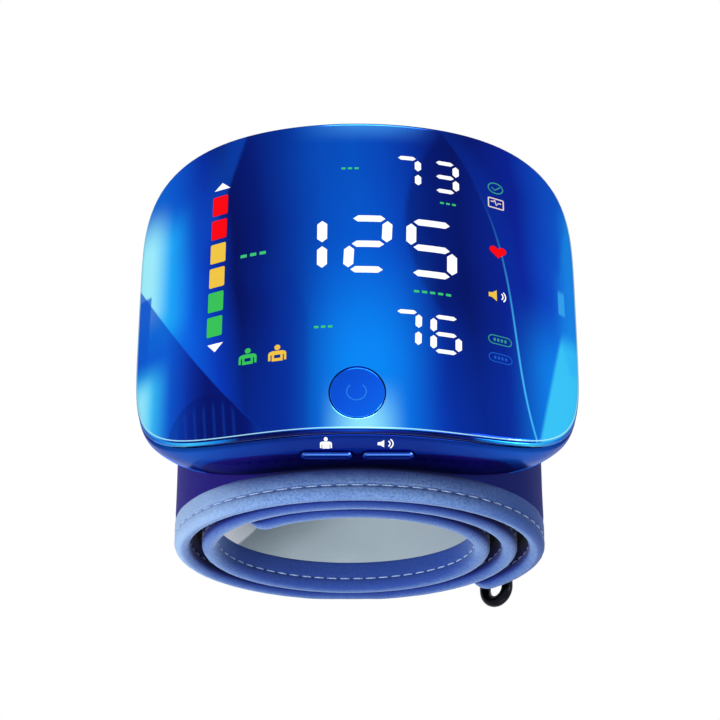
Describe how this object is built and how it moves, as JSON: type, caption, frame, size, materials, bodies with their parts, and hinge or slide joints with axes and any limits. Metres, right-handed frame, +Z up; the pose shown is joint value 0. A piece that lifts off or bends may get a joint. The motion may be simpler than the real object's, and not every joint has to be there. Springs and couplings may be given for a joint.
{
  "type": "wrist blood pressure monitor",
  "caption": "Wrist blood pressure monitor: an arched gloss housing with a curved display panel and press buttons, on a cuff wound in an oval.",
  "frame": {"origin": "on the surface that the cuff stands on, under the middle of the housing", "axes": "+Z up through the display, +X to the right of someone reading the display, +Y away from them"},
  "size_m": [0.084, 0.0792, 0.0743],
  "materials": {
    "panel": "mirror gloss",
    "trim": "metallic gloss",
    "case": "metallic gloss",
    "frame": "satin",
    "guide": "satin",
    "board": "satin",
    "switch": "satin",
    "metal": "satin",
    "cell": "sleeved",
    "tube": "matt",
    "bladder": "matt",
    "cover": "woven",
    "hem": "stitched",
    "lining": "brushed",
    "stiffener": "satin",
    "ring": "gloss"
  },
  "bodies": {
    "monitor": {"front_panel": "panel", "trim_ring": "trim", "display_frame": "frame", "lower_case": "case", "light_guide": "guide", "start_switch": "switch", "user_switch": "switch", "voice_switch": "switch", "main_board": "board", "charging_port": "metal", "battery_cell": "cell", "pump_motor": "metal", "pump_head": "switch", "exhaust_valve": "metal", "speaker": "switch", "air_manifold": "guide", "pump_tube": "tube", "valve_tube": "tube", "pressure_sensor": "switch", "air_nozzle": "guide", "case_screw_1": "metal", "case_screw_2": "metal", "case_screw_3": "metal", "case_screw_4": "metal", "cuff_cover": "cover", "cuff_lining": "lining", "cuff_stiffener": "stiffener", "cuff_bladder": "bladder", "tail_padding": "bladder", "front_hem": "hem", "rear_hem": "hem", "outer_end_hem": "hem", "inner_end_hem": "hem", "hook_patch": "cover", "ring_tab": "cover"},
    "start_cap": {"start_button": "panel"},
    "user_cap": {"user_button": "case"},
    "voice_cap": {"voice_button": "case"},
    "cuff_ring": {"d_ring": "ring"}
  },
  "joints": [
    {"name": "start_press", "type": "slide", "parent": "monitor", "child": "start_cap", "axis": [0, 0, -1], "range_m": [0, 0.0006], "stiffness_N_per_m": 800},
    {"name": "user_press", "type": "slide", "parent": "monitor", "child": "user_cap", "axis": [0, 1, 0], "range_m": [0, 0.0006], "stiffness_N_per_m": 800},
    {"name": "voice_press", "type": "slide", "parent": "monitor", "child": "voice_cap", "axis": [0, 1, 0], "range_m": [0, 0.0006], "stiffness_N_per_m": 800},
    {"name": "ring_swing", "type": "hinge", "parent": "monitor", "child": "cuff_ring", "pos_m": [0.03057, 0, 0.00553], "axis": [0, -1, 0], "range_deg": [0, 120]}
  ]
}
